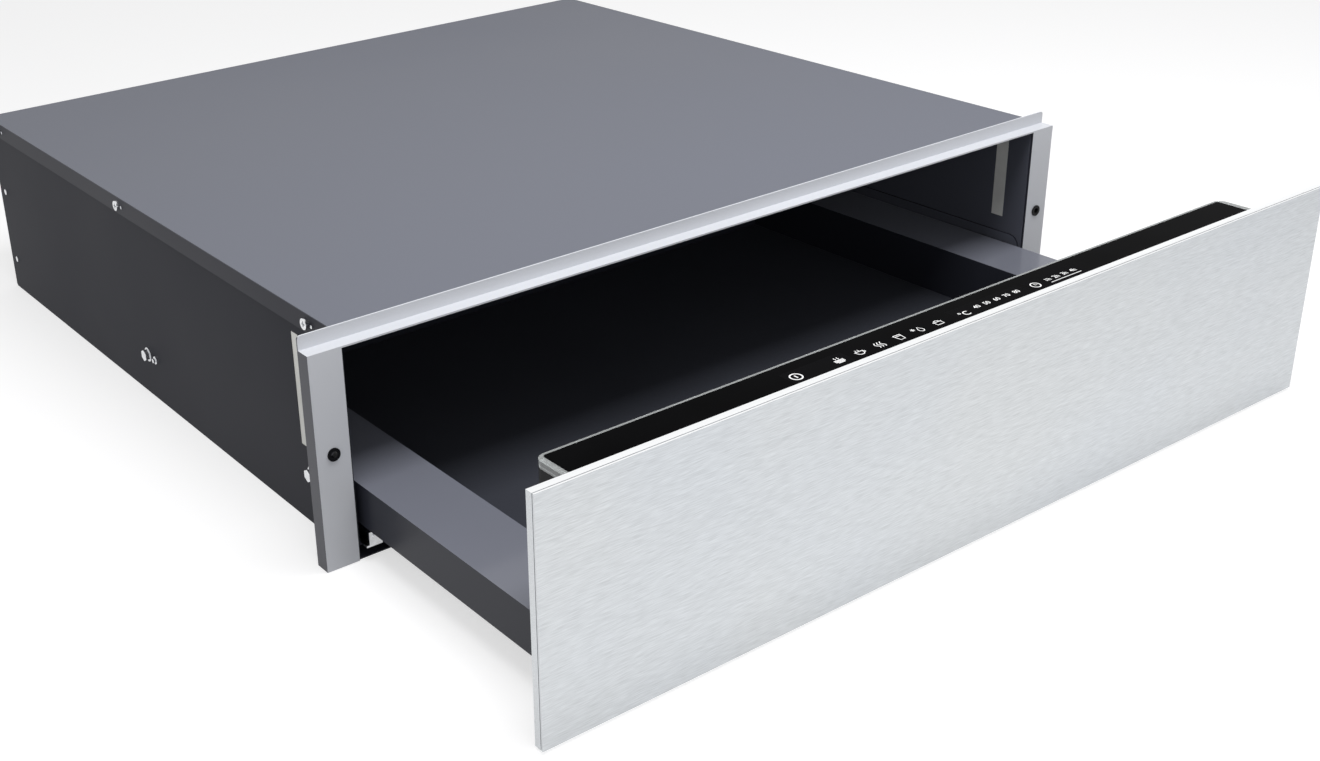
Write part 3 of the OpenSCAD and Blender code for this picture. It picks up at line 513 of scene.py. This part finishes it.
def finish_mesh(name, bm):
    bmesh.ops.recalc_face_normals(bm, faces=bm.faces)
    mesh = bpy.data.meshes.new(name)
    bm.to_mesh(mesh)
    bm.free()
    return mesh


def prism(bm, outline, low, high):
    """A closed upright prism over an outline of points that runs anticlockwise."""
    bottom = [bm.verts.new((x, y, low)) for x, y in outline]
    top = [bm.verts.new((x, y, high)) for x, y in outline]
    bm.faces.new(list(reversed(bottom)))
    bm.faces.new(top)
    count = len(outline)
    for i in range(count):
        j = (i + 1) % count
        bm.faces.new((bottom[i], bottom[j], top[j], top[i]))


def ring(bm, outer, inner, low, high):
    """A closed upright ring between two outlines with the same number of points."""
    loops = [[bm.verts.new((x, y, z)) for x, y in line] for line in (outer, inner) for z in (low, high)]
    outer_low, outer_high, inner_low, inner_high = loops
    count = len(outer)
    for i in range(count):
        j = (i + 1) % count
        bm.faces.new((outer_low[i], outer_low[j], outer_high[j], outer_high[i]))
        bm.faces.new((inner_low[j], inner_low[i], inner_high[i], inner_high[j]))
        bm.faces.new((outer_high[i], outer_high[j], inner_high[j], inner_high[i]))
        bm.faces.new((outer_low[j], outer_low[i], inner_low[i], inner_low[j]))


def ribbon(bm, points, width, closed=False):
    """A flat stroke along points that lies on the glass."""
    count = len(points)
    left, right = [], []
    for i, (x, y) in enumerate(points):
        before = points[i - 1] if closed or i > 0 else points[0]
        after = points[(i + 1) % count] if closed or i < count - 1 else points[-1]
        along = Vector((after[0] - before[0], after[1] - before[1])).normalized()
        side = Vector((-along.y, along.x)) * width / 2
        left.append((x + side.x, y + side.y))
        right.append((x - side.x, y - side.y))
    low, high = GLASS_HIGH.z, GLASS_HIGH.z + MARK_HEIGHT
    rows = [[bm.verts.new((x, y, z)) for x, y in line] for z in (low, high) for line in (left, right)]
    low_left, low_right, high_left, high_right = rows
    for i in range(count if closed else count - 1):
        j = (i + 1) % count
        bm.faces.new((high_right[i], high_right[j], high_left[j], high_left[i]))
        bm.faces.new((low_left[i], low_left[j], low_right[j], low_right[i]))
        bm.faces.new((high_left[i], high_left[j], low_left[j], low_left[i]))
        bm.faces.new((low_right[i], low_right[j], high_right[j], high_right[i]))
    if not closed:
        for i in (0, count - 1):
            bm.faces.new((low_left[i], low_right[i], high_right[i], high_left[i]))


def arc(centre, radius, start, end, steps):
    """Points along an arc, with its angles in degrees."""
    turns = [math.radians(start + (end - start) * i / steps) for i in range(steps + 1)]
    return [(centre[0] + radius * math.cos(t), centre[1] + radius * math.sin(t)) for t in turns]


def circle(centre, radius):
    """The points of a circle, 15 degrees apart."""
    return arc(centre, radius, 0, 345, 23)


def glass_outline(inset_side, inset_back, inset_front):
    """The control glass seen from above, drawn in from its edges, with two rounded rear corners."""
    left, right = GLASS_LOW.x + inset_side, GLASS_HIGH.x - inset_side
    front, back = GLASS_LOW.y + inset_front, GLASS_HIGH.y - inset_back
    radius = max(GLASS_CORNER - max(inset_side, inset_back), SMALLEST_CORNER)
    return (
        [(left, front), (right, front)]
        + arc((right - radius, back - radius), radius, 0, 90, CORNER_STEPS)
        + arc((left + radius, back - radius), radius, 90, 180, CORNER_STEPS)
    )


def make_glass():
    """The control glass as two pieces: a black plate inside a clear rim."""
    inner = glass_outline(RIM_SIDE, RIM_BACK, RIM_FRONT)
    bm = bmesh.new()
    ring(bm, glass_outline(0, 0, 0), inner, GLASS_LOW.z, GLASS_HIGH.z)
    rim = make_piece("glass_rim", finish_mesh("glass_rim", bm), GLASS, "drawer")
    bevel(rim, GLASS_BEVEL, segments=3)
    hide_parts("control_glass")
    bm = bmesh.new()
    prism(bm, inner, GLASS_LOW.z, GLASS_HIGH.z - PLATE_DROP)
    plate = make_piece("glass_plate", finish_mesh("glass_plate", bm), BLACK_GLASS, "drawer")
    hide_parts("control_glass")


def place(x, row):
    """A point on the glass: x in millimetres from its middle, row back from its front edge."""
    return x * MM, GLASS_LOW.y + row


def around(centre, points):
    """Points in millimetres about a mark's centre, put on the glass."""
    return [(centre[0] + x * MM, centre[1] + y * MM) for x, y in points]


def power_mark(bm, centre):
    ribbon(bm, circle(centre, 3.3 * MM), POWER_STROKE, closed=True)
    ribbon(bm, around(centre, [(0, -1.3), (0, 1.5)]), POWER_STROKE)


def dishes_mark(bm, centre):
    for level, half in ((-2.4, 2.2), (-1.5, 3.2), (-0.6, 3.2), (0.3, 3.2)):
        ribbon(bm, around(centre, [(-half, level), (half, level)]), DISH_STROKE)
    for side in (-1.1, 0.9):
        wave = [(side, 1.2), (side + 0.5, 1.9), (side, 2.6), (side + 0.5, 3.3)]
        ribbon(bm, around(centre, wave), STROKE)


def cup_mark(bm, centre):
    bowl = [(-2.6, 1.0), (-2.2, -1.2), (-1.0, -2.3), (1.0, -2.3), (2.2, -1.2), (2.6, 1.0)]
    handle = [(2.4, 0.4), (3.5, 0.2), (3.3, -0.9), (2.2, -1.0)]
    ribbon(bm, around(centre, bowl), STROKE)
    ribbon(bm, around(centre, [(-3.0, 1.0), (3.0, 1.0)]), STROKE)
    ribbon(bm, around(centre, handle), FINE_STROKE)
    for side in (-1.2, 0.6):
        ribbon(bm, around(centre, [(side, 1.7), (side + 0.4, 2.3), (side, 2.9)]), FINE_STROKE)


def steam_mark(bm, centre):
    for side in (-2.0, 0.0, 2.0):
        wave = [(side + 0.7 * math.sin(k * 0.9), -2.8 + 0.7 * k) for k in range(9)]
        ribbon(bm, around(centre, wave), STROKE)


def beaker_mark(bm, centre):
    ribbon(bm, around(centre, [(-2.5, 2.6), (-1.6, -2.6), (1.6, -2.6), (2.5, 2.6)]), STROKE)
    ribbon(bm, around(centre, [(-2.3, 1.3), (2.3, 1.3)]), FINE_STROKE)
    ribbon(bm, around(centre, [(-2.5, 2.6), (2.5, 2.6)]), STROKE)


def thaw_mark(bm, centre):
    """A three-line crystal at the upper left and a drop at the right."""
    crystal = (centre[0] - 3.0 * MM, centre[1] + 1.6 * MM)
    for turn in (0, 60, 120):
        dx, dy = 1.4 * math.cos(math.radians(turn)), 1.4 * math.sin(math.radians(turn))
        ribbon(bm, around(crystal, [(-dx, -dy), (dx, dy)]), FINE_STROKE)
    drop = [(1.2, 2.6), (-0.3, 0.2), (-0.4, -1.2), (0.6, -2.4), (2.0, -2.4), (2.9, -1.2), (2.7, 0.2)]
    ribbon(bm, around(centre, drop), THIN_STROKE, closed=True)


def pot_mark(bm, centre):
    ribbon(bm, around(centre, [(-2.4, 0.8), (-2.4, -2.3), (2.4, -2.3), (2.4, 0.8)]), STROKE)
    ribbon(bm, around(centre, [(-3.2, 0.8), (3.2, 0.8)]), STROKE)
    ribbon(bm, around(centre, [(-2.0, 1.6), (0.0, 2.4), (2.0, 1.6)]), THIN_STROKE)


def clock_mark(bm, centre):
    ribbon(bm, circle(centre, 2.9 * MM), CLOCK_STROKE, closed=True)
    ribbon(bm, around(centre, [(0, 1.6), (0, 0), (1.3, 0)]), THIN_STROKE)


KEY_MARKS = (
    (power_mark, POWER_X),
    (dishes_mark, -83.3),
    (cup_mark, -68.2),
    (steam_mark, -53.7),
    (beaker_mark, -38.9),
    (thaw_mark, -24.5),
    (pot_mark, -9.6),
    (clock_mark, 69.6),
)


def make_marks():
    """The generic marks of the touch keys, as flat ink on the glass."""
    bm = bmesh.new()
    for draw, x in KEY_MARKS:
        draw(bm, place(x, MARK_ROW))
    ribbon(bm, [place(x, UNDERLINE_ROW) for x in UNDERLINE_ENDS], THIN_STROKE)
    make_piece("key_marks", finish_mesh("key_marks", bm), MARKS, "drawer")


def word_mesh(name, text, size):
    """A short text as a flat mesh about its own middle."""
    curve = bpy.data.curves.new(name, "FONT")
    curve.body = text
    curve.size = size
    curve.align_x = "CENTER"
    curve.align_y = "CENTER"
    curve.extrude = MARK_HEIGHT / 2
    curve.offset = LETTER_SWELL
    curve.resolution_u = 3
    source = bpy.data.objects.new(name, curve)
    bpy.context.scene.collection.objects.link(source)
    bpy.context.view_layer.update()
    mesh = bpy.data.meshes.new_from_object(source)
    bpy.data.objects.remove(source)
    mesh.materials.clear()
    return mesh


def make_words():
    """The temperatures and hours beside the keys."""
    words = [("°C", UNIT_X, UNIT_SIZE, UNIT_ROW)]
    words += [(str(40 + 10 * i), DIGITS_X + DIGITS_STEP * i, DIGIT_SIZE, DIGIT_ROW) for i in range(5)]
    words += [(f"{i + 1}h", HOURS_X + HOURS_STEP * i, DIGIT_SIZE, DIGIT_ROW) for i in range(4)]
    for index, (text, x, size, row) in enumerate(words):
        mesh = word_mesh(f"word_{index}", text, size)
        middle = Vector((*place(x, row), GLASS_HIGH.z + MARK_HEIGHT / 2))
        mesh.transform(Matrix.Translation(middle))
        make_piece(f"key_word_{index}", mesh, MARKS, "drawer")


def make_fields():
    """Faint panels behind the groups of keys."""
    bm = bmesh.new()
    front, back = FIELD_ROWS
    for left, right in FIELD_ENDS:
        outline = [place(left, front), place(right, front), place(right, back), place(left, back)]
        prism(bm, outline, GLASS_HIGH.z - PLATE_DROP, GLASS_HIGH.z)
    make_piece("key_fields", finish_mesh("key_fields", bm), FIELD, "drawer")


def make_camera():
    camera = bpy.data.objects.new("camera", bpy.data.cameras.new("camera"))
    bpy.context.scene.collection.objects.link(camera)
    turn = (
        Matrix.Rotation(math.radians(CAMERA_AZIMUTH), 4, "Z")
        @ Matrix.Rotation(math.radians(90 - CAMERA_ELEVATION), 4, "X")
        @ Matrix.Rotation(math.radians(CAMERA_ROLL), 4, "Z")
    )
    camera.matrix_world = Matrix.Translation(CAMERA_PLACE) @ turn
    camera.data.sensor_width = SENSOR
    camera.data.lens = LENS
    camera.data.shift_x, camera.data.shift_y = SHIFT
    camera.data.clip_start = CAMERA_NEAR
    bpy.context.scene.camera = camera


def seen_directly(tree):
    """1 for rays that the camera, a reflection or clear glass sends, 0 for light."""
    path = tree.nodes.new("ShaderNodeLightPath")
    total = path.outputs["Is Camera Ray"]
    for name in ("Is Glossy Ray", "Is Transmission Ray"):
        either = tree.nodes.new("ShaderNodeMath")
        either.operation = "MAXIMUM"
        tree.links.new(total, either.inputs[0])
        tree.links.new(path.outputs[name], either.inputs[1])
        total = either.outputs["Value"]
    return total


def make_world():
    world = bpy.data.worlds.new("studio")
    bpy.context.scene.world = world
    world.use_nodes = True
    tree = world.node_tree
    background = tree.nodes["Background"]
    background.inputs["Color"].default_value = (*WHITE_COLOR, 1.0)
    level = tree.nodes.new("ShaderNodeMapRange")
    level.inputs["To Min"].default_value = WORLD_LEVEL
    level.inputs["To Max"].default_value = WHITE
    tree.links.new(seen_directly(tree), level.inputs["Value"])
    tree.links.new(level.outputs["Result"], background.inputs["Strength"])


def make_floor():
    """A floor that shows white and keeps the object's shadow."""
    bpy.ops.mesh.primitive_plane_add(size=FLOOR_SIZE, location=(0, 0, -FLOOR_GAP))
    floor = bpy.context.object
    floor.name = "floor"
    material = bpy.data.materials.new("floor")
    material.use_nodes = True
    tree = material.node_tree
    shader = tree.nodes["Principled BSDF"]
    shader.inputs["Base Color"].default_value = (*FLOOR_GREY, 1.0)
    shader.inputs["Roughness"].default_value = FLOOR_ROUGHNESS
    shader.inputs["Specular IOR Level"].default_value = 0.0
    shader.inputs["Emission Color"].default_value = (*WHITE_COLOR, 1.0)
    lift = tree.nodes.new("ShaderNodeMath")
    lift.operation = "MULTIPLY"
    lift.inputs[1].default_value = FLOOR_LIFT
    tree.links.new(seen_directly(tree), lift.inputs[0])
    tree.links.new(lift.outputs["Value"], shader.inputs["Emission Strength"])
    floor.data.materials.append(material)


def soft_lamp(name, position, target, size, power):
    """A large soft box that faces target and doesn't show in reflections."""
    lamp = bpy.data.objects.new(name, bpy.data.lights.new(name, "AREA"))
    bpy.context.scene.collection.objects.link(lamp)
    lamp.data.shape = "RECTANGLE"
    lamp.data.size, lamp.data.size_y = size
    lamp.data.energy = power
    lamp.visible_glossy = False
    aim = Vector(target) - Vector(position)
    lamp.matrix_world = Matrix.Translation(position) @ aim.to_track_quat("-Z", "Y").to_matrix().to_4x4()


make_camera()
make_world()
make_floor()
for values in LAMPS:
    soft_lamp(*values)
dress_nodes()
make_glass()
make_fields()
make_marks()
make_words()

bpy.context.scene.view_settings.view_transform = "Standard"
